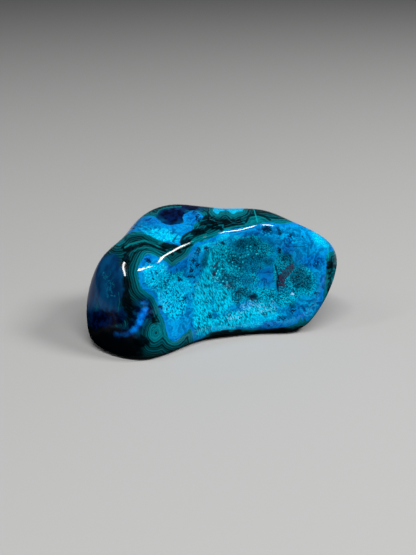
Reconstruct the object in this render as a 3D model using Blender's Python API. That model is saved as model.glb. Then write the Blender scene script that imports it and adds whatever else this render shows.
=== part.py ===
"""Polished malachite chrysocolla specimen.

One natural stone, ground and tumbled into a smooth freeform that rests on a small flat.
X runs along the stone, Y away from its shown face and Z up. The origin is on the floor,
in the middle of the stone's length and depth. Sizes below are in millimetres.
"""
import bmesh
import bpy
import numpy as np

MILLIMETRE = 0.001

# The point that distances to the ground faces are measured from
CENTRE = (0.0, 0.0, 18.0)

# A bent line through the middle of the stone, given by its left end, middle and right end
CORE_LEFT = (-24.0, -3.0, 14.0)
CORE_MIDDLE = (0.0, 4.0, 17.0)
CORE_RIGHT = (24.0, -2.0, 18.0)

# Swellings of the rough stone: centre, then half length, half depth and half height
BODY = ((8.6, 0.8, 16.4), (36.8, 22.4, 21.8))
RIGHT_END = ((27.2, 0.2, 14.0), (17.6, 20.8, 30.8))
SHOULDER = ((-10.0, 8.8, 19.0), (16.8, 15.0, 19.6))
LEFT_END = ((-24.8, -5.8, 11.4), (18.4, 15.6, 24.4))

# Ground faces: the way each one faces, then its distance from the core
TOP_FACE = ((0.30, -0.42, 1.00), 27.4)
RIGHT_SHOULDER_FACE = ((0.74, 0.54, 1.00), 25.6)
RIGHT_LOWER_FACE = ((1.00, 0.24, -0.78), 30.8)
LEFT_TOP_FACE = ((-0.04, -0.30, 1.00), 14.0)
LEFT_END_FACE = ((-1.00, -0.68, 0.36), 33.2)
FRONT_FACE = ((-0.04, -1.00, 0.38), 17.2)
FRONT_RIGHT_FACE = ((0.50, -1.00, 0.24), 36.0)
BACK_FACE = ((0.12, 1.00, 0.10), 21.4)
BACK_LOWER_FACE = ((-0.30, 1.00, -0.75), 21.6)
RESTING_FACE = ((0.00, 0.00, -1.00), 18.0)

# Hollows: the dished front, a druse-lined pocket in it and a thumb-sized dip in the back
FRONT_DISH = ((-1.0, -39.2, 24.0), (43.2, 29.2, 34.4))
FRONT_POCKET = ((10.4, -14.0, 28.8), (5.6, 3.8, 5.2))
BACK_DIP = ((20.0, 34.0, 20.0), (20.0, 14.0, 15.0))

# Widths over which forms run into each other, and over which ground edges are rounded
BODY_JOIN = 9.5
SHOULDER_JOIN = 8.5
LEFT_JOIN = 9.5
TOP_ROUNDING = 3.0
RIGHT_SHOULDER_ROUNDING = 8.5
RIGHT_LOWER_ROUNDING = 8.0
LEFT_TOP_ROUNDING = 5.5
LEFT_END_ROUNDING = 6.5
FRONT_RIGHT_ROUNDING = 6.0
RIM_ROUNDING = 4.0
POCKET_ROUNDING = 2.4
BACK_ROUNDING = 9.0
FOOT_ROUNDING = 3.0

# Fineness of the mesh, and how closely each of its points is brought to the skin
CELLS_ALONG = 44
CELLS_ACROSS = 22
FARTHEST = 80.0
HALVINGS = 44
FLAT_TOLERANCE = 0.01

STONE_COLOUR = (0.004, 0.19, 0.36, 1.0)
STONE_ROUGHNESS = 0.18


def clear_scene():
    """Remove every object of the scene."""
    for thing in list(bpy.data.objects):
        bpy.data.objects.remove(thing, do_unlink=True)


def swelling(points, form):
    """Near distance to an ellipsoid, negative inside it."""
    centre, half_sizes = np.array(form[0]), np.array(form[1])
    offset = points - centre
    ratio = np.linalg.norm(offset / half_sizes, axis=1)
    slope = np.linalg.norm(offset / half_sizes ** 2, axis=1)
    return ratio * (ratio - 1.0) / np.maximum(slope, 1e-9)


def face(points, form):
    """Distance in front of a ground face, negative behind it."""
    facing = np.array(form[0])
    facing = facing / np.linalg.norm(facing)
    return (points - np.array(CENTRE)) @ facing - form[1]


def join(first, second, width):
    """Grow two forms together, with a soft valley between them."""
    nearness = np.maximum(width - np.abs(first - second), 0.0) / width
    return np.minimum(first, second) - nearness ** 2 * width / 4.0


def grind(form, cut, width):
    """Take away what is outside the cut, and round the edge that this leaves."""
    return -join(-form, -cut, width)


def body_form(points):
    """The long body and its right end, ground on top, at the right and at the back."""
    form = join(swelling(points, BODY), swelling(points, RIGHT_END), BODY_JOIN)
    form = grind(form, face(points, TOP_FACE), TOP_ROUNDING)
    form = grind(form, face(points, RIGHT_SHOULDER_FACE), RIGHT_SHOULDER_ROUNDING)
    form = grind(form, face(points, RIGHT_LOWER_FACE), RIGHT_LOWER_ROUNDING)
    form = join(form, swelling(points, SHOULDER), SHOULDER_JOIN)
    form = grind(form, face(points, BACK_FACE), BACK_ROUNDING)
    form = grind(form, face(points, BACK_LOWER_FACE), BACK_ROUNDING)
    return grind(form, -swelling(points, BACK_DIP), BACK_ROUNDING)


def left_form(points):
    """The left end with its two ground faces."""
    form = grind(swelling(points, LEFT_END), face(points, LEFT_TOP_FACE), LEFT_TOP_ROUNDING)
    return grind(form, face(points, LEFT_END_FACE), LEFT_END_ROUNDING)


def stone_form(points):
    """The whole stone: negative inside it, zero on its skin."""
    front = grind(face(points, FRONT_FACE), face(points, FRONT_RIGHT_FACE), FRONT_RIGHT_ROUNDING)
    form = grind(body_form(points), front, RIM_ROUNDING)
    form = join(form, left_form(points), LEFT_JOIN)
    form = grind(form, -swelling(points, FRONT_DISH), RIM_ROUNDING)
    form = grind(form, -swelling(points, FRONT_POCKET), POCKET_ROUNDING)
    return grind(form, face(points, RESTING_FACE), FOOT_ROUNDING)


def skin_along(starts, directions):
    """Where each ray from the core line leaves the stone."""
    inner = np.zeros((len(starts), 1))
    outer = np.full((len(starts), 1), FARTHEST)
    for _ in range(HALVINGS):
        middle = (inner + outer) / 2.0
        is_outside = stone_form(starts + directions * middle)[:, None] > 0.0
        outer = np.where(is_outside, middle, outer)
        inner = np.where(is_outside, inner, middle)
    return starts + directions * outer


def gridded_cube():
    """A cube whose faces are grids, with more cells along X."""
    mesh = bmesh.new()
    bmesh.ops.create_cube(mesh, size=2.0)
    for axis, cells in enumerate((CELLS_ALONG, CELLS_ACROSS, CELLS_ACROSS)):
        edges = [edge for edge in mesh.edges
                 if abs(edge.verts[0].co[axis] - edge.verts[1].co[axis]) > 1.0]
        bmesh.ops.subdivide_edges(mesh, edges=edges, cuts=cells - 1, use_grid_fill=True)
    return mesh


def sphere_points(cube_points):
    """Round the cube's grid into a sphere with evenly spread points."""
    square = cube_points ** 2
    second = np.roll(square, 1, axis=1)
    third = np.roll(square, 2, axis=1)
    return cube_points * np.sqrt(1.0 - (second + third) / 2.0 + second * third / 3.0)


def core_line(along):
    """Points on the core line, from -1 at its left end to 1 at its right end."""
    left, middle, right = np.array(CORE_LEFT), np.array(CORE_MIDDLE), np.array(CORE_RIGHT)
    bend = (left + right) / 2.0 - middle
    return middle + along * (right - left) / 2.0 + along ** 2 * bend


def rays_from_core(on_sphere):
    """Rays that leave the core line squarely along its length and fan out at its ends."""
    along = on_sphere[:, :1]
    directions = np.hstack((along * np.abs(along), on_sphere[:, 1:]))
    return core_line(along), directions / np.linalg.norm(directions, axis=1, keepdims=True)


def rest_on_floor(points):
    """Flatten the resting face and put the origin under the middle of the stone."""
    points[np.abs(points[:, 2]) < FLAT_TOLERANCE, 2] = 0.0
    middle = (points.min(axis=0) + points.max(axis=0)) / 2.0
    points[:, :2] -= middle[:2]
    return points


def stone_material():
    """Polished blue-green stone."""
    material = bpy.data.materials.new("polished_stone")
    material.use_nodes = True
    shader = material.node_tree.nodes["Principled BSDF"]
    shader.inputs["Base Color"].default_value = STONE_COLOUR
    shader.inputs["Roughness"].default_value = STONE_ROUGHNESS
    shader.inputs["Metallic"].default_value = 0.0
    return material


def make_stone(collection):
    """Push the gridded cube out to the stone's skin."""
    grid = gridded_cube()
    cube_points = np.array([vertex.co[:] for vertex in grid.verts])
    starts, directions = rays_from_core(sphere_points(cube_points))
    points = rest_on_floor(skin_along(starts, directions)) * MILLIMETRE
    for vertex, point in zip(grid.verts, points):
        vertex.co = point
    bmesh.ops.recalc_face_normals(grid, faces=grid.faces)
    mesh = bpy.data.meshes.new("stone")
    grid.to_mesh(mesh)
    grid.free()
    mesh.shade_smooth()
    mesh.materials.append(stone_material())
    collection.objects.link(bpy.data.objects.new("stone", mesh))


def main():
    clear_scene()
    collection = bpy.data.collections.new("malachite_chrysocolla_specimen")
    bpy.context.scene.collection.children.link(collection)
    make_stone(collection)


main()
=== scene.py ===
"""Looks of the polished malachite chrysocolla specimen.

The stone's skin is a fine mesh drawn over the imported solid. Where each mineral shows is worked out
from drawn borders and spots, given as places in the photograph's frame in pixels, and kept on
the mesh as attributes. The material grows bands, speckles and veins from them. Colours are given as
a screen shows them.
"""
import math
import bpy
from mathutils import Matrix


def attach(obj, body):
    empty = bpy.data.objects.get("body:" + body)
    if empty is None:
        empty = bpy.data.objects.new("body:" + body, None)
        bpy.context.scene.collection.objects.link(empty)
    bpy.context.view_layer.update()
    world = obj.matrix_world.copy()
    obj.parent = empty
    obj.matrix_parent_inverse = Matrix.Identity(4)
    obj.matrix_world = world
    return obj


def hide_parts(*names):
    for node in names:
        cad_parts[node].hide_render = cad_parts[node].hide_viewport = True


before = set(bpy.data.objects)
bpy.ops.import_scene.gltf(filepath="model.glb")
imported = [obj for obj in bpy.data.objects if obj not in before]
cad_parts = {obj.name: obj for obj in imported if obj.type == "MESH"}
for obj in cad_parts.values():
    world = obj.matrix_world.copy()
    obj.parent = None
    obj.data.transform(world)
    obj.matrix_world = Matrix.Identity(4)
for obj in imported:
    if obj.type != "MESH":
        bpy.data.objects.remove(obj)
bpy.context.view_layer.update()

from types import SimpleNamespace

import bmesh
import bpy
import numpy as np
from mathutils import Matrix, Vector, noise
from mathutils.bvhtree import BVHTree

MILLIMETRE = 0.001

# The photograph's view of the stone, with distances in millimetres, and the camera that repeats it
PHOTO_WIDTH = 416
PHOTO_HEIGHT = 555
VIEW_AZIMUTH = -20.0
VIEW_ELEVATION = 24.0
VIEW_DISTANCE = 280.0
VIEW_TARGET = (0.15, -0.15, 16.0)
FOCAL_PIXELS = 850.0
SENSOR = 36.0

# Millimetres on the stone to a pixel of the photograph
PIXEL = 0.33

# The skin's mesh: its cells, the core line that its rays aim at, their length, and its smoothing
CELLS_ALONG = 190
CELLS_ACROSS = 94
CORE_ENDS = ((-24.0, -3.0, 14.0), (24.0, -2.0, 18.0))
CORE_MIDDLE = (0.0, 4.0, 17.0)
RAY_LENGTH = 80.0
SMOOTHINGS = 10

# Chrysocolla borders in photo pixels, each a closed line drawn through its points
FRONT_PATCH = (
    (138.5, 268), (142, 260), (146, 254.5), (152, 254.5), (160, 258), (166, 262), (172, 266.5),
    (178, 262.5), (184, 259), (188, 255), (191, 250), (196, 243.5), (206, 240), (216, 236),
    (225, 230.5), (240, 228), (254, 225.5), (266, 222.5), (282, 224), (294, 222), (306, 223),
    (320, 228), (336, 240), (334, 250), (327, 254), (326.5, 268), (325, 280), (324, 294),
    (321, 306), (316, 312), (311, 318), (306.5, 321.5), (304, 316.5), (302.5, 322), (300, 315.5),
    (298, 322.5), (293, 325), (285, 327), (268, 329), (250, 329.3), (236, 329), (222, 330.3),
    (212, 332), (205, 336), (199, 341), (193.5, 341), (192.5, 334), (190.5, 328), (187, 331.5),
    (183, 334.5), (180, 338), (175, 341.5), (169, 338), (166.5, 331), (164, 320),
    (160.5, 313), (157, 304), (152.5, 296), (146, 291.5), (141, 286), (138.7, 277),
)
TOP_PATCH = (
    (118, 236), (128, 229.5), (137, 221.5), (142, 217), (151, 216), (157, 218), (162, 222.5),
    (168, 225), (176, 224.5), (183.5, 222.5), (182.5, 216.5), (186, 213), (194, 211),
    (202, 214.5), (202.5, 219), (198, 221), (194, 225), (192, 230.5), (184.5, 233.5),
    (181, 238), (180, 245), (172.5, 244), (165, 242), (157, 239), (149, 235), (143, 232.5),
    (135, 231.5), (126, 234), (118, 242),
)
CREST_PATCHES = (
    ((213, 210.5), (215.5, 207), (220, 206.5), (223.5, 208.5), (224, 211), (220, 211), (217.5, 214)),
    ((224, 209.5), (227, 206.5), (232, 205.5), (243.5, 206.5), (242, 211), (237, 212), (233, 214),
     (228, 211)),
)
BLUE_STREAK = (
    (148.5, 307.5), (147.5, 313), (144.5, 319), (141.5, 325), (137.5, 330), (131, 335), (124, 337),
    (115, 336), (115, 332), (123, 332), (130, 329.5), (135, 325), (137.5, 319), (139.5, 312),
    (143.5, 308),
)
BLUE_ISLET = ((141, 302.5), (144.5, 300.5), (148.5, 301), (147, 304), (143, 304.5))

# Malachite eyes that bands grow round: middle, half width, half height, and lean in degrees. Their
# bands are closer than the others by a pace, and begin a little way out.
EYES = (
    (156, 332.5, 4.2, 5.8, 12),
    (259, 227, 12.0, 8.0, -6),
    (330, 290, 2.0, 9.0, 8),
)
EYE_PACE = 1.3
EYE_START = 0.15

# Spots of each look: middle, half width, half height, and lean in degrees
SPOTS = {
    # The bright spot at 320, 240 is a painted highlight along the top right rim
    "bright": (
        (157, 276, 15, 14, 0), (172, 300, 15, 21, -12), (181, 287, 14, 12, 20),
        (163, 236, 26, 6, 8), (218, 210, 8, 5, 0), (235, 209, 12, 5, 0), (206, 247, 12, 5, -20),
        (225, 236, 8, 4, -30), (252, 318, 34, 9, -8), (220, 326, 24, 8, -8), (320, 240, 12, 4.5, 46),
    ),
    "streaky": (
        (204, 292, 13, 34, 12), (203, 320, 14, 22, 10), (212, 262, 10, 18, 14), (222, 300, 12, 18, 14),
        (236, 318, 26, 10, -14), (262, 310, 18, 9, -12),
    ),
    "azure": (
        (186, 322, 9, 15, 18), (172, 334, 7, 9, 0), (178, 267, 15, 5, -24), (152, 221, 10, 5, 0),
        (190, 220, 9, 6, 0), (265, 276, 10, 8, 0), (276, 325, 24, 6, -8), (312, 258, 17, 11, 8),
        (306, 308, 10, 9, 0), (252, 231, 24, 5, -8), (270, 236, 14, 8, 0), (149, 257, 7, 5, 0),
        (144, 284, 3, 12, -8), (159, 308, 3, 18, -22), (288, 246, 6, 14, 0), (322, 285, 5, 26, 4),
    ),
    "teal": (
        (222, 262, 20, 26, 12), (234, 290, 22, 16, 0), (262, 296, 22, 9, 0), (284, 272, 12, 24, 0),
        (300, 282, 20, 17, 0), (165, 285, 6, 5, 0), (250, 250, 28, 18, 0), (176, 276, 9, 4, -20),
        (244, 270, 24, 22, 0), (286, 298, 14, 10, 0),
    ),
    "dusk": (
        (247, 245, 14, 9, 0), (252, 258, 20, 8, 0), (238, 260, 12, 12, 0), (216, 270, 5, 6, 0),
        (204, 262, 4, 12, 20), (253, 297, 5, 5, 0), (286, 258, 8, 7, 0), (242, 292, 12, 5, 10),
        (279, 284, 5, 12, 0), (292, 305, 5, 4, 0), (268, 262, 9, 5, 0), (308, 282, 7, 8, 0),
        (298, 278, 9, 12, 0), (266, 230, 6, 4, 0), (278, 231, 3, 4, 0), (230, 280, 9, 9, 0),
    ),
    # Painted glints and highlights, drawn as pale strokes on the grain
    "pale": (
        (248, 306, 13, 5, -24), (262, 309, 12, 6, 0), (271, 304, 6, 5, 0), (233, 318, 9, 4, 0),
        (197, 286, 4, 3, 0), (217, 277, 4, 1.6, 20), (226, 285, 3, 3, 0),
    ),
    "specks": (
        (198, 251, 3.4, 3.4, 0), (207, 248.5, 3.6, 2.6, 0), (192.6, 259.5, 4.4, 3.6, 0),
        (197, 264.5, 3, 3.2, 0), (190.5, 268.5, 2.2, 3.4, 0), (191, 276, 3.4, 2.4, 0),
        (184, 300, 2.2, 2.2, 0), (181, 278, 2.6, 1.5, 20), (266, 231, 6, 3.4, 0),
        (277, 230.5, 2.8, 4, 0), (279.5, 251, 3.4, 4, 0), (290, 236, 2.8, 2.8, 0),
        (301, 237, 1.8, 3, 0), (292, 310, 3.4, 2.8, 0), (316, 264, 3.6, 3, 0),
        (145.5, 284, 2, 1.7, 0), (171, 272.5, 2, 1.6, 0), (149, 259.5, 3.6, 2, 10),
        (176, 339.5, 1.6, 2, 0), (282.5, 318, 5, 3.4, 0), (252, 297, 3.4, 3.6, 0),
        (211, 317, 2.6, 2.4, 0), (160.5, 308, 2, 2.6, 0), (202, 222, 2.2, 4, 20),
        (194, 213, 3, 2, 0), (198, 218, 2.4, 4, -10), (195, 227, 5, 4, 30),
        (186, 246, 2, 1.6, 0), (222, 243, 2.4, 1.8, 0), (314, 292, 2.2, 1.8, 0),
        (269, 326, 2.4, 1.8, 0), (240, 320, 2, 1.6, 0),
    ),
    "glint": ((293.4, 292.2, 2.4, 1.6, -10),),
    "deep": (
        (152, 221, 11, 4, 0), (192, 218, 9, 5, 0), (263, 276, 13, 11, 0), (178, 267, 15, 5, -24),
        (312, 262, 14, 9, 0), (288, 247, 6, 14, 0), (256, 233, 20, 4, -8), (322, 290, 4, 22, 4),
        (270, 326, 16, 5, 0), (300, 312, 8, 6, 0), (149, 257, 7, 4, 0),
    ),
    "rust": (
        (287.5, 271.5, 5.0, 9.5, 40), (282, 277, 4.5, 5, 0), (282.5, 285.5, 3.4, 2.6, 0),
        (216.5, 264, 1.8, 5, 30), (215.5, 273, 2.4, 2.4, 0), (251, 298.5, 1.6, 2.2, 0),
    ),
    # Black malachite; the spots along the lower edge and under the left lobe are painted shade
    "night": (
        (126, 298, 7, 30, -3), (127.5, 249, 7, 4.5, -8), (166, 246.8, 9, 4, 20), (126, 262, 5, 9, 0),
        (112, 342, 36, 19, 10), (151, 315, 4, 14, -25), (82, 300, 8, 40, 0), (90, 338, 20, 20, 0),
        (171, 217, 13, 8, -6), (212, 222, 13, 8, 0), (232, 223, 18, 6, 0), (138, 342, 16, 9, 0),
        (186, 243, 6, 5, -40), (176, 248, 8, 4, 20), (196, 232, 9, 4, -8), (135, 310, 8, 12, 0),
        (330, 268, 4, 12, 0), (134, 323, 8, 10, 0), (303, 328, 14, 4.5, -28), (216, 338, 16, 5, -14),
        (230, 333, 28, 4, -4), (329.5, 286, 3, 14, 4), (222, 227, 20, 5, -8), (137, 212, 13, 5, -28),
        (262, 333, 34, 4.5, -7), (222, 343, 20, 5, -14),
    ),
    "tracery": (
        (109, 282, 6, 13, -12), (222, 228, 22, 6, -8), (208, 222, 12, 8, 0), (196, 228, 8, 6, 0),
        (238, 222, 10, 8, 0), (329, 276, 4, 14, 0),
    ),
    # Painted sparkles that stand for glints on the druse
    "sparks": (
        (250, 252, 16, 6, 0), (236, 262, 10, 8, 0), (222, 252, 9, 8, 0), (222, 276, 12, 14, 0),
    ),
    # Painted shade under the left lobe and along the lower edge
    "void": ((108, 343, 42, 17, 10), (84, 334, 14, 12, 0), (262, 336, 40, 5, -7)),
    "slate": (
        (250, 266, 15, 9, 10), (257, 258, 14, 5, 0), (246, 281, 8, 8, 0), (240, 246, 12, 7, 0),
    ),
    "rimless": (
        (218, 211, 8, 6, 0), (235, 210, 12, 6, 0), (160, 239, 24, 6, 10), (228, 330, 32, 7, -6),
    ),
    "faded": ((120, 335, 14, 8, 0), (145, 302, 6, 4, 0)),
    "abyss": (
        (106, 320, 24, 13, 0), (173, 215, 15, 9, -3), (140, 332, 14, 10, 0), (190, 206, 20, 3.6, 3),
    ),
    "navy": (
        (109, 284, 17, 36, 4), (104, 318, 20, 14, 0), (172, 216.5, 20, 12, -3),
        (190, 207.5, 24, 3.5, 3), (108, 268, 14, 18, 10), (88, 292, 13, 40, 8),
        (118, 316, 10, 12, 0),
    ),
}

# Spots where the polish is dull, and where the skin is grainy
DULL_SPOTS = (
    (198, 240, 14, 12, -28), (213, 235, 14, 12, -20), (154, 262, 5, 8, 0), (259, 226, 5, 6, 0),
    (146, 265, 2.5, 5, 0), (190, 246, 4, 5, 0), (151, 298, 12, 20, -15), (182, 267, 16, 8, -25),
    (128, 320, 18, 22, 0), (324, 302, 9, 26, 12), (330, 270, 6, 22, 0),
    (132, 270, 4, 7, 0), (303, 230, 12, 8, 30), (110, 345, 40, 22, 10), (95, 320, 24, 18, 0),
    (150, 345, 30, 10, 0),
)
GRAIN_SPOTS = (
    (222, 262, 22, 28, 12), (214, 300, 20, 30, 8), (250, 250, 24, 16, 0), (250, 300, 34, 22, -6),
    (284, 275, 14, 26, 0), (300, 290, 18, 14, 0), (180, 295, 16, 20, -10),
)

# How far the spots' rims stray: waves to the millimetre, and pixels
RAGGED_BROAD = (0.22, 3.0)
RAGGED_FINE = (0.8, 2.4)

# Where a look begins and is full, as its spots' shade rises from 0 to 1
SPOT_EDGES = {
    "bright": (0.12, 0.70),
    "teal": (0.15, 0.75),
    "streaky": (0.15, 0.80),
    "dusk": (0.10, 1.10),
    "azure": (0.15, 0.80),
    "deep": (0.10, 0.80),
    "slate": (0.10, 0.90),
    "rust": (0.22, 0.50),
    "glint": (0.30, 0.70),
    "night": (0.15, 0.70),
    "navy": (0.25, 0.70),
    "abyss": (0.00, 0.80),
    "void": (0.10, 0.60),
}

# Whorls of short marks in the chrysocolla: middle, half width, half height, lean in degrees, how many
# marks run round it and outward, and how strong they are
WHORLS = (
    (158.5, 279.5, 13, 12, 0, 9.0, 5.5, 0.95),
    (173.5, 301.0, 13, 20, -14, 5.8, 9.6, 0.95),
    (290.0, 236.0, 10, 9, 0, 2.4, 4.2, 0.5),
    (310.0, 308.5, 11, 10, 0, 2.4, 4.6, 0.5),
    (267.0, 231.5, 7, 5, 0, 2.6, 3.2, 0.7),
    (160.0, 236.0, 26, 9, 10, 7.0, 4.0, 0.5),
)

# Thin veins in photo pixels, each with its width and strength; two of them are painted highlights.
# Squiggles are broken in places.
BRIGHT_VEINS = (
    (((253.5, 208), (255, 213), (257.5, 222)), 0.8, 0.6),
    # A painted highlight along the top right rim
    (((326.5, 236), (328, 245), (328.3, 257)), 0.9, 0.6),
    (((274.0, 266), (274.5, 272), (275.6, 280)), 0.7, 0.7),
    (((161.8, 291.5), (164.2, 288), (168.5, 285.5)), 0.9, 0.6),
    (((118.5, 292), (119.5, 301), (118, 311)), 0.6, 0.2),
)
SQUIGGLES = (
    # A painted highlight on the left facet's rim
    (((104, 271), (103, 275), (105, 280)), 0.9, 0.6),
    (((106, 284), (108, 288), (106.5, 292), (108, 297)), 1.2, 0.5),
    (((109, 281), (111, 285), (110, 290), (112, 293)), 1.2, 0.45),
    (((111, 295), (113.5, 296.5), (116, 295.5)), 1.0, 0.55),
)
PALE_BANDS = (
    (((248, 218), (253, 216.5), (259, 216.5), (265, 218.5), (271, 222)), 1.0, 0.7),
    (((251, 223), (255, 220.5), (261, 220.5), (266, 223)), 0.9, 0.6),
    (((125, 247.5), (130, 244.2), (137, 242.2), (144.5, 240.4), (152.5, 242.6), (159, 247.4)),
     1.3, 0.85),
    (((157, 213), (159.5, 209.8), (165, 208), (172, 207), (181, 206.6)), 0.8, 0.7),
    (((134, 251), (139, 248.2), (146, 247.2), (153, 249), (161, 254)), 1.0, 0.5),
    (((225, 229), (236, 226.5), (246, 225), (253, 222)), 1.2, 0.6),
    (((182, 247), (190, 243), (197, 236.5), (206, 234)), 1.5, 0.6),
)
DARK_VEINS = (
    (((127, 239), (136, 236.8), (146, 237.6), (156, 242.6)), 3.6, 0.5),
    (((132, 248.6), (138, 245.4), (143, 244), (149, 244.2), (156.5, 247.4), (165, 251)), 1.5, 0.9),
    (((135, 253.6), (140, 250.4), (147, 249.6), (154, 251.6), (162, 256)), 1.0, 0.6),
    (((290, 246.5), (300, 246.8), (312, 244.6)), 0.7, 0.45),
    (((173, 241), (177, 235)), 1.0, 0.8),
    (((191, 318), (192, 326)), 0.7, 0.7),
    (((194, 230), (197, 226)), 1.0, 0.8),
    (((246, 222), (249, 216), (256, 214), (264, 216), (270, 220)), 1.6, 0.85),
    (((120, 232), (127, 228), (134, 228.5)), 1.0, 0.7),
    (((129, 221), (134, 224.5), (141, 227)), 0.9, 0.45),
    (((180.5, 242), (183, 237), (190, 232), (204, 230.5)), 1.6, 0.85),
    (((186, 247), (189, 240.5), (195, 236.5), (206, 232.5)), 1.1, 0.8),
)

# Breaks in the polish, in photo pixels: a crack beside the rusty spot, nicks and an area of small
# pits. Widths, radii and depths are in millimetres, but the crack's dark line is in pixels.
CRACK = ((275.0, 265), (276.8, 271.5), (278.4, 277), (277.2, 283), (278.0, 291))
CRACK_LINE = 0.85
CRACK_WIDTH = 0.36
CRACK_DEPTH = 0.5
NICKS = ((328.5, 268, 1.9, 1.5, 0), (198.8, 220, 1.2, 2.4, 0), (183.5, 300.5, 1.0, 1.0, 0))
NICK_RIMS = (0.3, 1.2)
NICK_DEPTH = 0.5
PITS = 90
PIT_AREA = (150, 240, 205, 325)
PIT_RADIUS = (0.22, 0.5)
PIT_DEPTH = 0.12
PIT_STRENGTH = 0.8

# Low relief in millimetres, and its noise: features to the millimetre, and octaves
WAVE_HEIGHT = 0.05
WAVE_NOISE = (0.12, 2)
GRAIN_HEIGHT = 0.11
GRAIN_NOISE = (0.9, 3)
GRAIN_MIDDLE = 0.6

# Depths inside the chrysocolla, in millimetres, over which grain, pits and dullness set in, and how
# dull its heart is
GRAIN_ONSET = (0.6, 2.0)
PIT_ONSET = (0.8, 1.6)
DULL_ONSET = (1.5, 4.0)
DULL_HEART = 0.7

# Skin that faces the floor has little gloss, and the skin on the floor stays where it is
GLOSS_TILT = (-0.05, 0.42)
GLOSS_BELOW = 0.06
FLOOR_CLEARANCE = (0.3, 2.5)

# How far the pattern strays from the drawn one, in pixels, on the side that the photograph doesn't
# show, and how squarely the skin faces the camera where the pattern and the veins begin to turn away
# and are gone
HIDDEN_STRAY = 46.0
STRAY_SCALE = 0.055
HIDDEN_FACING = (0.12, -0.65)
VEIN_FACING = (0.12, -0.10)

# Screen colours of the malachite, whose black also paints shade along the lower edge, its ground faces
# and the blue streak, in pairs from dark to light
BLACK_AND_SHADE = ((0.0, 0.01, 0.02), (0.0, 0.10, 0.16))
NAVY = ((0.0, 0.13, 0.27), (0.0, 0.25, 0.41))
ABYSS = ((0.0, 0.01, 0.09), (0.0, 0.08, 0.24))
STREAK_EDGE = ((0.0, 0.05, 0.20), (0.0, 0.24, 0.38))
STREAK = ((0.0, 0.28, 0.60), (0.0, 0.45, 0.83))

# Single screen colours of the malachite: lines along its bands, its outer parts and threads, and the
# black of the painted shade under the stone
GROOVE = (0.0, 0.06, 0.08)
FINE_GROOVE = (0.0, 0.11, 0.13)
FINE_RIDGE = (0.0, 0.50, 0.55)
EDGE_RIDGE = (0.0, 0.52, 0.58)
OUTER_GREEN = (0.0, 0.12, 0.13)
THREAD = (0.0, 0.38, 0.44)
PAINTED_SHADE_BLACK = (0.0, 0.01, 0.02)

# Screen colours of the chrysocolla, in pairs from dark to light
SKIN = ((0.0, 0.34, 0.54), (0.0, 0.53, 0.77))
DEEP_SKIN = ((0.0, 0.20, 0.44), (0.0, 0.42, 0.73))
CELL = ((0.0, 0.54, 0.76), (0.0, 0.78, 0.91))
SAND = ((0.0, 0.19, 0.29), (0.0, 0.68, 0.82))
STROKE = ((0.0, 0.22, 0.32), (0.0, 0.76, 0.90))
SLATE = ((0.0, 0.26, 0.40), (0.0, 0.42, 0.58))
MURK = ((0.0, 0.07, 0.11), (0.0, 0.36, 0.48))
RUST = ((0.09, 0.10, 0.18), (0.22, 0.16, 0.27))
WHORL_MARK = ((0.0, 0.18, 0.36), (0.0, 0.80, 0.93))

# Single screen colours of the chrysocolla, with the whites of its painted glints and painted sparkles
RIM_BLUE = (0.0, 0.41, 0.71)
SKIN_WORM = (0.0, 0.24, 0.46)
CELL_WORM = (0.0, 0.32, 0.48)
DOT = (0.0, 0.10, 0.18)
SPECK = (0.0, 0.07, 0.18)
PAINTED_GLINT = (0.52, 0.78, 0.95)
PAINTED_SPARKLE = (0.10, 0.84, 0.92)

# Screen colours of the veins, which also paint two highlights, and of the breaks in the polish
SQUIGGLE_TINT = (0.0, 0.48, 0.62)
VEINS = (
    (PALE_BANDS, (0.0, 0.41, 0.44)),
    (DARK_VEINS, (0.0, 0.03, 0.05)),
    (BRIGHT_VEINS, (0.0, 0.58, 0.64)),
)
BREAK_TINT = (0.0, 0.03, 0.05)

# Malachite's bands from the border outward, as screen colours, over a span in millimetres
BAND_SPAN = 8.0
BAND_STOPS = (
    (0.00, (0.00, 0.44, 0.50)),
    (0.04, (0.00, 0.37, 0.42)),
    (0.065, (0.00, 0.20, 0.23)),
    (0.10, (0.00, 0.38, 0.43)),
    (0.16, (0.00, 0.31, 0.36)),
    (0.22, (0.00, 0.17, 0.20)),
    (0.29, (0.00, 0.28, 0.33)),
    (0.36, (0.00, 0.13, 0.15)),
    (0.41, (0.00, 0.03, 0.03)),
    (0.47, (0.00, 0.03, 0.03)),
    (0.52, (0.00, 0.35, 0.41)),
    (0.57, (0.00, 0.24, 0.25)),
    (0.64, (0.00, 0.16, 0.19)),
    (0.71, (0.00, 0.24, 0.25)),
    (0.80, (0.00, 0.08, 0.08)),
    (0.90, (0.00, 0.04, 0.04)),
    (1.00, (0.00, 0.16, 0.19)),
)

# Waves to the millimetre on each axis of the drawn-out patterns, and their turns in degrees
FLECKS = ((2.5, 2.5, 0.55), (0.0, 18.0, 0.0))
BRUSHED = ((2.6, 2.6, 0.6), (0.0, 48.0, 0.0))
DRIFT = ((0.30, 0.30, 0.08), (0.0, 0.0, 0.0))
THREADS = ((0.20, 0.45, 0.75), (0.0, 0.0, 0.0))

# The polish: roughness of the stone, of its grain and of its breaks, and the clear coat over them
ROUGHNESS = 0.16
GRAIN_ROUGHNESS = 0.14
BREAK_ROUGHNESS = 0.3
COAT = 0.75
COAT_LOST_IN_BREAKS = 0.6
COAT_ROUGHNESS = 0.055
BUMP_STRENGTH = 0.5
BUMP_METRES = 0.0003

# Lights: start and end of one side in metres, width in metres, and power in watts
LIGHTS = {
    "strip_light": ((-0.36, -0.127, 0.80), (0.282, -0.67, 0.80), 0.095, 9.0),
    "left_light": ((-0.83, -0.02, 0.60), (-0.51, 0.20, 0.86), 0.022, 1.3),
    "key_light": ((0.55, -0.46, 0.72), (0.68, -0.24, 0.72), 0.25, 8.2),
}
NOT_MIRRORED = "key_light"

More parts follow.
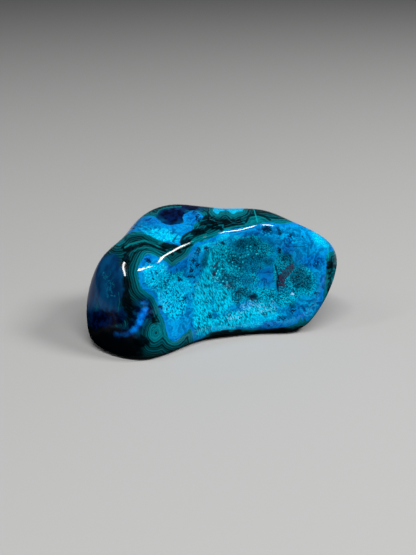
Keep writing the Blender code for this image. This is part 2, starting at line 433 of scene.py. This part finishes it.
# The world and the floor, in linear colours
WORLD_COLOUR = (0.9, 0.92, 1.0, 1.0)
WORLD_STRENGTH = 0.05
FLOOR_COLOUR = (0.32, 0.32, 0.315, 1.0)
FLOOR_ROUGHNESS = 0.9
FLOOR_SIZE = 6.0

SEED = 11


def unit(vector):
    """The vector at length one."""
    return vector / np.linalg.norm(vector)


def view_axes():
    """The photograph's eye point in millimetres, and its forward, right and up directions."""
    azimuth = math.radians(VIEW_AZIMUTH)
    elevation = math.radians(VIEW_ELEVATION)
    back = np.array((math.sin(azimuth) * math.cos(elevation),
                     -math.cos(azimuth) * math.cos(elevation),
                     math.sin(elevation)))
    eye = np.array(VIEW_TARGET) + back * VIEW_DISTANCE
    right = unit(np.cross(-back, (0.0, 0.0, 1.0)))
    return eye, -back, right, np.cross(right, -back)


def photo_places(points):
    """Where points in millimetres fall in the photograph, in pixels."""
    eye, forward, right, up = view_axes()
    offset = points - eye
    depth = offset @ forward
    across = PHOTO_WIDTH / 2 + FOCAL_PIXELS * (offset @ right) / depth
    down = PHOTO_HEIGHT / 2 - FOCAL_PIXELS * (offset @ up) / depth
    return np.stack((across, down), axis=1)


def smooth_step(values, low, high):
    """Rise smoothly from 0 at low to 1 at high."""
    part = np.clip((values - low) / (high - low), 0.0, 1.0)
    return part * part * (3.0 - 2.0 * part)


def closed_curve(points, steps=5):
    """A smooth closed line through the points."""
    knots = np.array(points, float)
    before, after, beyond = np.roll(knots, 1, 0), np.roll(knots, -1, 0), np.roll(knots, -2, 0)
    line = []
    for t in np.linspace(0.0, 1.0, steps, endpoint=False):
        line.append(0.5 * (2 * knots + (after - before) * t
                           + (2 * before - 5 * knots + 4 * after - beyond) * t ** 2
                           + (3 * knots - before - 3 * after + beyond) * t ** 3))
    return np.stack(line, axis=1).reshape(-1, 2)


def distance_to_line(places, line, closed):
    """Distance in pixels from each place to the nearest point of a line."""
    ends = np.roll(line, -1, 0) if closed else line[1:]
    starts = line if closed else line[:-1]
    nearest = np.full(len(places), 1e9)
    for start, end in zip(starts, ends):
        run = end - start
        along = np.clip((places - start) @ run / max(run @ run, 1e-9), 0.0, 1.0)
        gap = np.linalg.norm(places - start - along[:, None] * run, axis=1)
        nearest = np.minimum(nearest, gap)
    return nearest


def depth_inside(places, points):
    """Distance in millimetres to a closed border, positive inside it."""
    line = closed_curve(points)
    inside = np.zeros(len(places), bool)
    across, down = places[:, 0], places[:, 1]
    for start, end in zip(line, np.roll(line, -1, 0)):
        crosses = (start[1] > down) != (end[1] > down)
        rise = end[1] - start[1]
        reach = start[0] + (down - start[1]) * (end[0] - start[0]) / (rise if rise else 1e-9)
        inside ^= crosses & (across < reach)
    gap = distance_to_line(places, line, True)
    return np.where(inside, gap, -gap) * PIXEL


def spot_radius(places, spot):
    """Distance from a spot's middle, counted in the spot's own half sizes."""
    across, down, half_width, half_height, lean = spot
    offset = places - np.array((across, down))
    turn = math.radians(lean)
    along = offset[:, 0] * math.cos(turn) + offset[:, 1] * math.sin(turn)
    beside = -offset[:, 0] * math.sin(turn) + offset[:, 1] * math.cos(turn)
    return np.hypot(along / half_width, beside / half_height)


def ragged(places, points):
    """Places strayed a little, so that the spots drawn over them get uneven rims."""
    broad = noise_vectors(points, RAGGED_BROAD[0])[:, :2] * RAGGED_BROAD[1]
    fine = noise_vectors(points, RAGGED_FINE[0])[:, :2] * RAGGED_FINE[1]
    return places + broad + fine


def spots(places, group, core=0.35, rim=1.25):
    """How far places lie in any spot of a group: 1 in its core, 0 past its rim."""
    shade = np.zeros(len(places))
    for spot in group:
        shade = np.maximum(shade, 1.0 - smooth_step(spot_radius(places, spot), core, rim))
    return shade


def noise_vectors(points, scale):
    """A smooth random vector at each point, for features one over scale millimetres wide."""
    return np.array([noise.noise_vector(Vector(point) * scale) for point in points])


def noise_values(points, scale, octaves, falloff=0.6, spread=2.1):
    """A smooth random number at each point, about -1 to 1."""
    return np.array([noise.fractal(Vector(point) * scale, falloff, spread, octaves)
                     for point in points])


def gridded_cube():
    """A cube whose faces are grids, with more cells along X."""
    mesh = bmesh.new()
    bmesh.ops.create_cube(mesh, size=2.0)
    for axis, cells in enumerate((CELLS_ALONG, CELLS_ACROSS, CELLS_ACROSS)):
        edges = [edge for edge in mesh.edges
                 if abs(edge.verts[0].co[axis] - edge.verts[1].co[axis]) > 1.0]
        bmesh.ops.subdivide_edges(mesh, edges=edges, cuts=cells - 1, use_grid_fill=True)
    return mesh


def rays_from_core(cube_points):
    """Rays that leave the stone's core line squarely along its length and fan out at its ends."""
    square = cube_points ** 2
    second, third = np.roll(square, 1, axis=1), np.roll(square, 2, axis=1)
    ball = cube_points * np.sqrt(1.0 - (second + third) / 2.0 + second * third / 3.0)
    left, right = np.array(CORE_ENDS)
    middle = np.array(CORE_MIDDLE)
    along = ball[:, :1]
    starts = middle + along * (right - left) / 2.0 + along ** 2 * ((left + right) / 2.0 - middle)
    directions = np.hstack((along * np.abs(along), ball[:, 1:]))
    return starts, directions / np.linalg.norm(directions, axis=1, keepdims=True)


def draw_skin(node):
    """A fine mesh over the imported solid, without the solid's facets."""
    solid = bmesh.new()
    solid.from_mesh(node.data)
    tree = BVHTree.FromBMesh(solid)
    solid.free()
    skin = gridded_cube()
    cube_points = np.array([vertex.co[:] for vertex in skin.verts])
    starts, directions = rays_from_core(cube_points)
    outer = (starts + directions * RAY_LENGTH) * MILLIMETRE
    for vertex, origin, direction in zip(skin.verts, outer, directions):
        vertex.co = tree.ray_cast(Vector(origin), Vector(-direction))[0]
    for _ in range(SMOOTHINGS):
        bmesh.ops.smooth_vert(skin, verts=skin.verts, factor=0.5,
                              use_axis_x=True, use_axis_y=True, use_axis_z=True)
    bmesh.ops.recalc_face_normals(skin, faces=skin.faces)
    mesh = bpy.data.meshes.new("polished_stone")
    skin.to_mesh(mesh)
    skin.free()
    return mesh


def mesh_arrays(mesh):
    """A mesh's points in millimetres and its outward directions."""
    count = len(mesh.vertices)
    points = np.empty(count * 3, np.float32)
    mesh.vertices.foreach_get("co", points)
    normals = np.empty(count * 3, np.float32)
    mesh.vertex_normals.foreach_get("vector", normals)
    return points.reshape(-1, 3) / MILLIMETRE, normals.reshape(-1, 3).astype(float)


def turned_away(normals, facing):
    """1 where the skin faces away from the photograph's view, 0 where it is seen."""
    forward = view_axes()[1]
    return 1.0 - smooth_step(-(normals @ forward), facing[1], facing[0])


def pattern_places(points, hidden):
    """Photo places of the skin, led astray on the side that the photograph doesn't show."""
    stray = noise_vectors(points, STRAY_SCALE)[:, :2] * HIDDEN_STRAY
    return photo_places(points) + stray * hidden[:, None]


def crack_shade(places):
    """1 in the middle of the crack, 0 beside it."""
    gap = distance_to_line(places, np.array(CRACK), False) * PIXEL
    return 1.0 - smooth_step(gap, 0.0, CRACK_WIDTH)


def pit_shade(places):
    """1 in the middle of each small pit, 0 past its rim."""
    draw = np.random.default_rng(SEED)
    left, top, right, bottom = PIT_AREA
    shade = np.zeros(len(places))
    for _ in range(PITS):
        middle = draw.uniform((left, top), (right, bottom))
        radius = draw.uniform(*PIT_RADIUS)
        gap = np.linalg.norm(places - middle, axis=1) * PIXEL
        shade = np.maximum(shade, 1.0 - smooth_step(gap, radius * 0.3, radius))
    return shade


def keep(mesh, name, values):
    """Keep one number for each point of the mesh."""
    attribute = mesh.attributes.new(name, "FLOAT", "POINT")
    attribute.data.foreach_set("value", np.asarray(values, np.float32))


def keep_places(mesh, places):
    """Keep each point's place in the photo's plane, for lines too thin for the mesh."""
    attribute = mesh.attributes.new("pattern", "FLOAT_VECTOR", "POINT")
    flat = np.hstack((places, np.zeros((len(places), 1))))
    attribute.data.foreach_set("vector", flat.ravel().astype(np.float32))


def eye_depth(places):
    """Distance in millimetres from the nearest malachite eye."""
    nearest = np.full(len(places), 1e9)
    for eye in EYES:
        size = min(eye[2], eye[3]) * PIXEL
        nearest = np.minimum(nearest, (spot_radius(places, eye) - 1.0) * size)
    return nearest


def map_borders(mesh, places):
    """Keep how deep each point lies in its mineral, and give back the depth in the chrysocolla."""
    borders = (FRONT_PATCH, TOP_PATCH) + CREST_PATCHES
    blue = np.max([depth_inside(places, border) for border in borders], axis=0)
    streak = np.max([depth_inside(places, border) for border in (BLUE_STREAK, BLUE_ISLET)], axis=0)
    keep(mesh, "blue", blue)
    keep(mesh, "growth", np.minimum(np.abs(blue), np.abs(eye_depth(places)) * EYE_PACE + EYE_START))
    keep(mesh, "streak", streak)
    return blue


def sink_skin(mesh, points, normals, sink):
    """Move the skin inward by depths in millimetres, but leave it where it meets the floor."""
    off_floor = smooth_step(points[:, 2], *FLOOR_CLEARANCE)
    moved = points - normals * (sink * off_floor)[:, None]
    mesh.vertices.foreach_set("co", (moved * MILLIMETRE).ravel().astype(np.float32))
    mesh.update()


def map_minerals(mesh):
    """Work out where each mineral and each break in the polish lies, and shape the skin by it."""
    points, normals = mesh_arrays(mesh)
    hidden = turned_away(normals, HIDDEN_FACING)
    places = pattern_places(points, hidden)
    keep(mesh, "seen", 1.0 - turned_away(normals, VEIN_FACING))
    keep_places(mesh, places)
    blue = map_borders(mesh, places)
    uneven = ragged(places, points)
    for name, group in SPOTS.items():
        keep(mesh, name, spots(uneven, group))
    dull = np.maximum(spots(uneven, DULL_SPOTS), smooth_step(blue, *DULL_ONSET) * DULL_HEART)
    lit = GLOSS_BELOW + (1.0 - GLOSS_BELOW) * smooth_step(normals[:, 2], *GLOSS_TILT)
    keep(mesh, "gloss", (1.0 - dull * (1.0 - hidden)) * lit)
    grain = spots(uneven, GRAIN_SPOTS) * smooth_step(blue, *GRAIN_ONSET)
    keep(mesh, "grain", grain)
    crack = crack_shade(places)
    nicks = spots(places, NICKS, *NICK_RIMS)
    pits = pit_shade(places) * smooth_step(blue, *PIT_ONSET)
    keep(mesh, "broken", np.maximum(np.maximum(crack, nicks), pits * PIT_STRENGTH))
    sink = crack * CRACK_DEPTH + nicks * NICK_DEPTH + pits * PIT_DEPTH
    sink += grain * GRAIN_HEIGHT * (GRAIN_MIDDLE - noise_values(points, *GRAIN_NOISE))
    sink += WAVE_HEIGHT * (0.5 - noise_values(points, *WAVE_NOISE) * 0.5)
    sink_skin(mesh, points, normals, sink)


def linear(red, green, blue):
    """A screen colour as the light that it stands for."""
    return tuple(((part + 0.055) / 1.055) ** 2.4 if part > 0.04 else part / 12.92
                 for part in (red, green, blue)) + (1.0,)


class Wire:
    """One socket of a material. Sums and products on it add the Math nodes that they need."""

    def __init__(self, finish, socket):
        self.finish = finish
        self.socket = socket

    def __add__(self, other):
        return self.finish.maths("ADD", self, other)

    def __radd__(self, other):
        return self.finish.maths("ADD", other, self)

    def __sub__(self, other):
        return self.finish.maths("SUBTRACT", self, other)

    def __rsub__(self, other):
        return self.finish.maths("SUBTRACT", other, self)

    def __mul__(self, other):
        return self.finish.maths("MULTIPLY", self, other)

    def __rmul__(self, other):
        return self.finish.maths("MULTIPLY", other, self)

    def __truediv__(self, other):
        return self.finish.maths("DIVIDE", self, other)

    def __rtruediv__(self, other):
        return self.finish.maths("DIVIDE", other, self)

    def __abs__(self):
        return self.finish.maths("ABSOLUTE", self)


class Finish:
    """A material being made."""

    def __init__(self, name):
        self.material = bpy.data.materials.new(name)
        self.material.use_nodes = True
        self.tree = self.material.node_tree
        self.shader = self.tree.nodes["Principled BSDF"]

    def add(self, kind, settings, values, output=0):
        """Add one node: its settings first, then the values or links of its sockets."""
        node = self.tree.nodes.new(kind)
        for name, setting in settings.items():
            if name == "stops":
                self.set_stops(node.color_ramp, setting)
            else:
                setattr(node, name, setting)
        for key, value in values.items():
            self.feed(node.inputs[key], value)
        return Wire(self, node.outputs[output])

    def maths(self, operation, *values):
        """One Math node on numbers or sockets."""
        return self.add("ShaderNodeMath", {"operation": operation}, dict(enumerate(values)))

    def feed(self, socket, value):
        """Link a wire into a socket, or set its value."""
        if isinstance(value, Wire):
            self.tree.links.new(value.socket, socket)
        else:
            socket.default_value = value

    def set_stops(self, ramp, stops):
        """Give a ramp its stops: pairs of a position and a screen colour."""
        while len(ramp.elements) < len(stops):
            ramp.elements.new(1.0)
        for element, (position, colour) in zip(ramp.elements, stops):
            element.position = position
            element.color = linear(*colour)

    def kept(self, name):
        """A number kept on the mesh."""
        return self.add("ShaderNodeAttribute", {"attribute_name": name}, {}, "Fac")

    def mix(self, factor, first, second):
        """A colour between two others, each a wire or a screen colour."""
        first, second = (linear(*colour) if isinstance(colour, tuple) else colour
                         for colour in (first, second))
        return self.add("ShaderNodeMix", {"data_type": "RGBA"}, {0: factor, 6: first, 7: second}, 2)

    def layered(self, colour, layers):
        """A colour with layers over it: pairs of a factor and a colour, from the lowest up."""
        for factor, tint in layers:
            colour = self.mix(factor, colour, tint)
        return colour

    def between(self, value, low, high, pair):
        """The first colour of a pair where a value is low, the second where it is high."""
        return self.mix(self.step(value, low, high), *pair)

    def step(self, value, low, high):
        """Rise smoothly from 0 at low to 1 at high."""
        return self.add("ShaderNodeMapRange", {"interpolation_type": "SMOOTHSTEP"},
                        {"Value": value, "From Min": low, "From Max": high})

    def area(self, name, stray=0.0):
        """1 in the spots of a look, 0 outside them, with rims that stray."""
        return self.step(self.kept(name) + stray, *SPOT_EDGES[name])

    def noise(self, place, scale, detail=2.0, roughness=0.5, distortion=0.0):
        """Smooth random numbers about 0.5, for features one over scale millimetres wide."""
        return self.add("ShaderNodeTexNoise", {},
                        {"Vector": place, "Scale": scale, "Detail": detail,
                         "Roughness": roughness, "Distortion": distortion}, "Fac")

    def cells(self, place, scale):
        """Distance to the nearest of many scattered points, in cells."""
        return self.add("ShaderNodeTexVoronoi", {"feature": "F1"},
                        {"Vector": place, "Scale": scale}, "Distance")

    def contour(self, value, level, width):
        """1 where a value is at a level, 0 where it is a width away."""
        return 1.0 - self.step(abs(value - level), width * 0.3, width)

    def vectors(self, operation, first, second, output=0):
        """One Vector Math node."""
        return self.add("ShaderNodeVectorMath", {"operation": operation}, {0: first, 1: second}, output)

    def scaled(self, vector, scale):
        """A vector made longer or shorter."""
        return self.add("ShaderNodeVectorMath", {"operation": "SCALE"}, {0: vector, "Scale": scale})

    def line(self, place, points, width, jitter):
        """1 on a thin line through points of the pattern's plane, 0 beside it."""
        gap = 1e9
        for start, end in zip(points, points[1:]):
            run = Vector(end + (0,)) - Vector(start + (0,))
            offset = self.vectors("SUBTRACT", place, start + (0,))
            along = self.vectors("DOT_PRODUCT", offset, run / run.length_squared, "Value")
            along = self.maths("MINIMUM", self.maths("MAXIMUM", along, 0.0), 1.0)
            nearest = self.scaled(run, along)
            gap = self.maths("MINIMUM", gap, self.vectors("DISTANCE", offset, nearest, "Value"))
        return 1.0 - self.step(gap + jitter, width * 0.4, width)

    def stretch(self, place, scale, turn):
        """Places squeezed by a scale on each axis, after a turn in degrees."""
        angles = tuple(math.radians(angle) for angle in turn)
        turned = self.add("ShaderNodeVectorRotate", {"rotation_type": "EULER_XYZ"},
                          {"Vector": place, "Rotation": angles})
        return self.vectors("MULTIPLY", turned, scale)

    def drawn_out(self, place, pattern, detail, roughness=0.5):
        """Smooth random numbers drawn out on one of their axes."""
        return self.noise(self.stretch(place, *pattern), 1.0, detail, roughness)

    def set(self, name, value):
        """Feed one socket of the surface."""
        self.feed(self.shader.inputs[name], value)


def shared_fields(stone):
    """Places and smooth random numbers that several looks share."""
    here = SimpleNamespace()
    metres = stone.add("ShaderNodeTexCoord", {}, {}, "Object")
    here.place = stone.scaled(metres, 1.0 / MILLIMETRE)
    here.pattern = stone.add("ShaderNodeAttribute", {"attribute_name": "pattern"}, {}, "Vector")
    here.blue = stone.kept("blue")
    here.wander = stone.noise(here.place, 0.30, 2.0) - 0.5
    here.ripple = stone.noise(here.place, 1.3, 3.0, 0.6) - 0.5
    here.mottle = stone.noise(here.place, 0.55, 3.0, 0.6)
    here.cloud = stone.noise(here.place, 0.28, 4.0, 0.6, 0.4)
    here.grit = stone.noise(here.place, 2.5, 1.0, 0.6)
    here.dust = stone.noise(here.place, 5.0, 1.0, 0.6)
    here.flecks = stone.drawn_out(here.place, FLECKS, 2.0, 0.6)
    here.uneven = here.wander * 0.3 + here.ripple * 0.7 + (here.grit - 0.5) * 0.8
    return here


def malachite_bands(stone, here):
    """Green bands that grow out from the chrysocolla and from the malachite's own eyes."""
    growth = stone.kept("growth") + here.wander * 0.7 + here.ripple * 0.2
    across = stone.maths("PINGPONG", growth / BAND_SPAN, 1.0)
    bands = stone.add("ShaderNodeValToRGB", {"stops": BAND_STOPS}, {"Fac": across}, "Color")
    coarse = stone.maths("SINE", growth * 4.6 + here.wander * 5.0)
    fine = stone.maths("SINE", growth * 8.4 + here.wander * 7.0)
    close = stone.maths("SINE", growth * 17.0 + here.wander * 6.0)
    away = stone.step(growth, 0.9, 2.4)
    beside = 1.0 - stone.step(growth, 0.3, 1.3)
    return stone.layered(bands, (
        (stone.step(coarse, 0.1, 0.9) * away * 0.85, GROOVE),
        (stone.step(fine, 0.2, 1.0) * 0.65, FINE_GROOVE),
        (stone.step(0.0 - fine, 0.4, 1.0) * 0.3, FINE_RIDGE),
        (stone.step(close, 0.2, 0.9) * beside * 0.4, EDGE_RIDGE),
        (stone.step(growth, 1.0, 3.0) * 0.3, OUTER_GREEN),
    ))


def malachite(stone, here):
    """Banded malachite with dark ground faces, black that also paints shade along the lower edge,
    painted shade under the stone, and the blue streak.
    """
    wander, ripple, mottle = here.wander, here.ripple, here.mottle
    drift = stone.drawn_out(here.place, DRIFT, 3.0)
    pool = stone.between(mottle, 0.42, 0.64, ABYSS)
    deep = stone.mix(stone.area("abyss", ripple * 0.4), stone.between(drift, 0.35, 0.7, NAVY), pool)
    threads = stone.contour(stone.drawn_out(here.place, THREADS, 1.0), 0.5, 0.03)
    threads = threads * stone.step(mottle, 0.42, 0.5) * stone.kept("tracery")
    streak = stone.kept("streak") + ripple * 0.5 + wander * 0.4 + (mottle - 0.5) * 0.8
    vivid = stone.step(streak, -0.5, 0.8) * (1.0 - stone.kept("faded") * 0.75)
    return stone.layered(malachite_bands(stone, here), (
        # Black malachite, and painted shade along the lower edge and under the left lobe
        (stone.area("night", wander * 0.9 + ripple * 0.5) * 0.93,
         stone.between(mottle, 0.5, 0.75, BLACK_AND_SHADE)),
        (stone.area("navy", wander * 0.3 + ripple * 0.2), deep),
        (threads * 0.75, THREAD),
        (stone.step(streak, -2.8, 0.2) * 0.75, stone.between(mottle, 0.46, 0.58, STREAK_EDGE)),
        # Painted shade, near black, under the left lobe and along the lower edge
        (stone.area("void", ripple * 0.3) * 0.95, PAINTED_SHADE_BLACK),
        (vivid, stone.between(mottle, 0.36, 0.62, STREAK)),
    ))


def whorl(stone, pattern, row):
    """Layers of short marks that run round a middle or outward from it."""
    across, down, half_width, half_height, lean, around, outward, strength = row
    offset = stone.vectors("SUBTRACT", pattern, (across, down, 0.0))
    squeezed = stone.stretch(offset, (1.0 / half_width, 1.0 / half_height, 0.0), (0.0, 0.0, -lean))
    radius = stone.vectors("DISTANCE", squeezed, (0.0, 0.0, 0.0), "Value")
    heading = stone.vectors("NORMALIZE", squeezed, (0.0, 0.0, 0.0))
    depth = stone.add("ShaderNodeCombineXYZ", {}, {"Z": radius * outward + across})
    marks = stone.noise(stone.vectors("ADD", stone.scaled(heading, around), depth), 1.0, 1.0, 0.4)
    reach = (1.0 - stone.step(radius, 0.75, 1.15)) * strength
    dark, light = WHORL_MARK
    return (
        (reach * (1.0 - stone.step(marks, 0.36, 0.46)) * 0.5, light),
        (reach * stone.step(marks, 0.53, 0.60), dark),
    )


def azure_skin(stone, here, rim, worms):
    """Smooth azure chrysocolla, with a stronger blue at its rim and faint worm marks."""
    swirls = stone.maths("SINE", here.blue * 2.0 + here.cloud * 36.0)
    calm = here.cloud + swirls * 0.14 + (here.dust - 0.5) * 0.25
    return stone.layered(stone.between(calm, 0.30, 0.68, SKIN), (
        (rim * 0.6, RIM_BLUE),
        (stone.area("deep", here.uneven * 0.6) * 0.75, stone.between(calm, 0.30, 0.68, DEEP_SKIN)),
        (worms * 0.35, SKIN_WORM),
    ))


def heart_marks(stone, here, azure):
    """Layers of dusky areas, dots, specks, painted glints in pale brushed strokes, painted sparkles and
    rust.
    """
    place, grit, dust = here.place, here.grit, here.dust
    dots = 1.0 - stone.step(stone.cells(place, 1.1) + (grit - 0.5) * 0.8, 0.08, 0.22)
    dotted = stone.step(stone.kept("grain") + (here.cloud - 0.5), 0.2, 0.9) * (1.0 - azure * 0.6)
    specks = stone.kept("specks")
    broken_up = stone.step(specks * 0.75 + (grit - 0.5) * 2.8, 0.34, 0.54)
    brushed = stone.drawn_out(place, BRUSHED, 2.0, 0.6)
    # Painted glints: pale brushed strokes on the grain, and the one glint by the rusty spot
    pale = stone.kept("pale") * stone.step(brushed * 0.7 + dust * 0.3, 0.52, 0.62) * 0.65
    # Painted sparkles: bright dots that stand for glints on the druse
    sparks = 1.0 - stone.step(stone.cells(place, 0.9) + (dust - 0.5) * 0.3, 0.18, 0.34)
    rust = stone.area("rust", here.ripple * 0.8) * (0.8 + stone.step(here.flecks, 0.44, 0.52) * 0.2)
    return (
        (stone.area("dusk", here.uneven) * 0.85, stone.between(here.grains, 0.42, 0.60, MURK)),
        (dots * dotted * 0.7, DOT),
        (stone.step(specks, 0.02, 0.25) * broken_up * 0.95, SPECK),
        (stone.maths("MAXIMUM", pale, stone.area("glint")), PAINTED_GLINT),
        (sparks * stone.kept("sparks") * 0.9, PAINTED_SPARKLE),
        (rust * 0.9, stone.between(here.flecks, 0.42, 0.60, RUST)),
    )


def chrysocolla(stone, here):
    """Blue chrysocolla: azure skin, bright cells with worm marks, and a granular teal heart."""
    grit, dust, patchy = here.grit, here.dust, here.cloud - 0.5
    rim = 1.0 - stone.step(here.blue + here.ripple * 0.8, 0.35, 1.5)
    rim = rim * (1.0 - stone.kept("rimless"))
    azure = stone.maths("MAXIMUM", stone.area("azure", here.uneven), rim * 0.9)
    worms = stone.contour(stone.noise(here.place, 0.75, 1.0, 0.6, 0.6), 0.5, 0.06)
    worms = worms * stone.step(grit, 0.42, 0.50)
    skin = azure_skin(stone, here, rim, worms)
    cell = stone.mix(worms * 0.6, stone.between(grit, 0.40, 0.62, CELL), CELL_WORM)
    here.grains = grit * 0.75 + dust * 0.25 + patchy * 0.3
    strokes = here.flecks * 0.8 + dust * 0.2 + patchy * 0.25
    colour = stone.layered(skin, (
        (stone.area("bright", here.uneven), cell),
        (stone.area("teal", here.uneven), stone.between(here.grains, 0.42, 0.60, SAND)),
        (stone.area("streaky", here.uneven) * 0.9, stone.between(strokes, 0.38, 0.62, STROKE)),
        (stone.area("slate", here.uneven) * 0.8, stone.between(here.grains, 0.42, 0.60, SLATE)),
        (azure * 0.85, skin),
    ))
    for row in WHORLS:
        colour = stone.layered(colour, whorl(stone, here.pattern, row))
    return stone.layered(colour, heart_marks(stone, here, azure))


def vein_layers(stone, here, jitter, breaks):
    """Layers of thin veins, two of them painted highlights, on the side that the photograph shows."""
    seen = stone.kept("seen")
    layers = []
    for points, width, strength in SQUIGGLES:
        vein = stone.line(here.pattern, points, width, jitter) * breaks
        layers.append((vein * seen * strength, SQUIGGLE_TINT))
    for veins, tint in VEINS:
        for points, width, strength in veins:
            vein = stone.line(here.pattern, points, width, jitter)
            layers.append((vein * seen * strength, tint))
    return layers


def stone_finish():
    """The whole polished stone."""
    stone = Finish("malachite_and_chrysocolla")
    here = shared_fields(stone)
    jitter = here.ripple * 1.5
    breaks = stone.step(stone.noise(here.place, 2.2, 1.0), 0.44, 0.56)
    crack = stone.line(here.pattern, CRACK, CRACK_LINE, jitter) * (0.65 + breaks * 0.35)
    broken = stone.maths("MAXIMUM", stone.step(stone.kept("broken"), 0.25, 0.8), crack)
    border = stone.step(here.blue + here.wander * 0.6 + here.ripple * 0.6, -0.10, 0.12)
    colour = stone.mix(border, malachite(stone, here), chrysocolla(stone, here))
    colour = stone.layered(colour, vein_layers(stone, here, jitter, breaks))
    grain = stone.kept("grain")
    coat = stone.kept("gloss") * (COAT - broken * COAT_LOST_IN_BREAKS)
    height = stone.noise(here.place, 3.2, 4.0, 0.7) * grain + stone.noise(here.place, 1.6) * 0.05
    stone.set("Base Color", stone.mix(broken * 0.92, colour, BREAK_TINT))
    stone.set("Roughness", ROUGHNESS + grain * GRAIN_ROUGHNESS + broken * BREAK_ROUGHNESS)
    stone.set("Specular IOR Level", 0.0)
    stone.set("Coat Weight", coat)
    stone.set("Coat Roughness", COAT_ROUGHNESS)
    stone.set("Normal", stone.add("ShaderNodeBump", {}, {
        "Strength": BUMP_STRENGTH, "Distance": BUMP_METRES, "Height": height}))
    return stone.material


def make_stone():
    """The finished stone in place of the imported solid."""
    mesh = draw_skin(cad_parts["stone"])
    map_minerals(mesh)
    mesh.shade_smooth()
    mesh.materials.append(stone_finish())
    piece = bpy.data.objects.new("polished_stone", mesh)
    bpy.context.scene.collection.objects.link(piece)
    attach(piece, "root")
    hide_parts("stone")


def make_floor():
    """A plain pale floor."""
    bpy.ops.mesh.primitive_plane_add(size=FLOOR_SIZE, location=(0.0, 0.0, 0.0))
    floor = bpy.context.object
    floor.name = "floor"
    paint = Finish("floor_paint")
    paint.set("Base Color", FLOOR_COLOUR)
    paint.set("Roughness", FLOOR_ROUGHNESS)
    floor.data.materials.append(paint.material)


def add_softbox(name, start, end, width, power):
    """A studio light with one side from start to end, turned to face the stone."""
    light = bpy.data.lights.new(name, "AREA")
    along = Vector(end) - Vector(start)
    light.shape = "RECTANGLE"
    light.size, light.size_y = along.length, width
    light.energy = power
    softbox = bpy.data.objects.new(name, light)
    bpy.context.scene.collection.objects.link(softbox)
    middle = (Vector(start) + Vector(end)) / 2.0
    along.normalize()
    away = middle - along * middle.dot(along)
    away.normalize()
    turn = Matrix((along, away.cross(along), away)).transposed()
    softbox.matrix_world = Matrix.Translation(middle) @ turn.to_4x4()
    softbox.visible_glossy = name != NOT_MIRRORED


def light_studio():
    """A long strip that draws the line along the rim, a short one on the left, and a soft key."""
    for name, row in LIGHTS.items():
        add_softbox(name, *row)
    world = bpy.data.worlds.new("studio")
    world.use_nodes = True
    background = world.node_tree.nodes["Background"]
    background.inputs["Color"].default_value = WORLD_COLOUR
    background.inputs["Strength"].default_value = WORLD_STRENGTH
    bpy.context.scene.world = world


def add_camera():
    """A camera where the photograph was taken from."""
    camera = bpy.data.cameras.new("camera")
    camera.sensor_width = SENSOR
    camera.lens = SENSOR * FOCAL_PIXELS / PHOTO_HEIGHT
    camera.clip_start = 0.01
    holder = bpy.data.objects.new("camera", camera)
    bpy.context.scene.collection.objects.link(holder)
    holder.location = Vector(view_axes()[0]) * MILLIMETRE
    gaze = Vector(VIEW_TARGET) * MILLIMETRE - holder.location
    holder.rotation_euler = gaze.to_track_quat("-Z", "Y").to_euler()
    bpy.context.scene.camera = holder


noise.seed_set(SEED)
add_camera()
light_studio()
make_floor()
make_stone()
bpy.context.scene.view_settings.view_transform = "Standard"
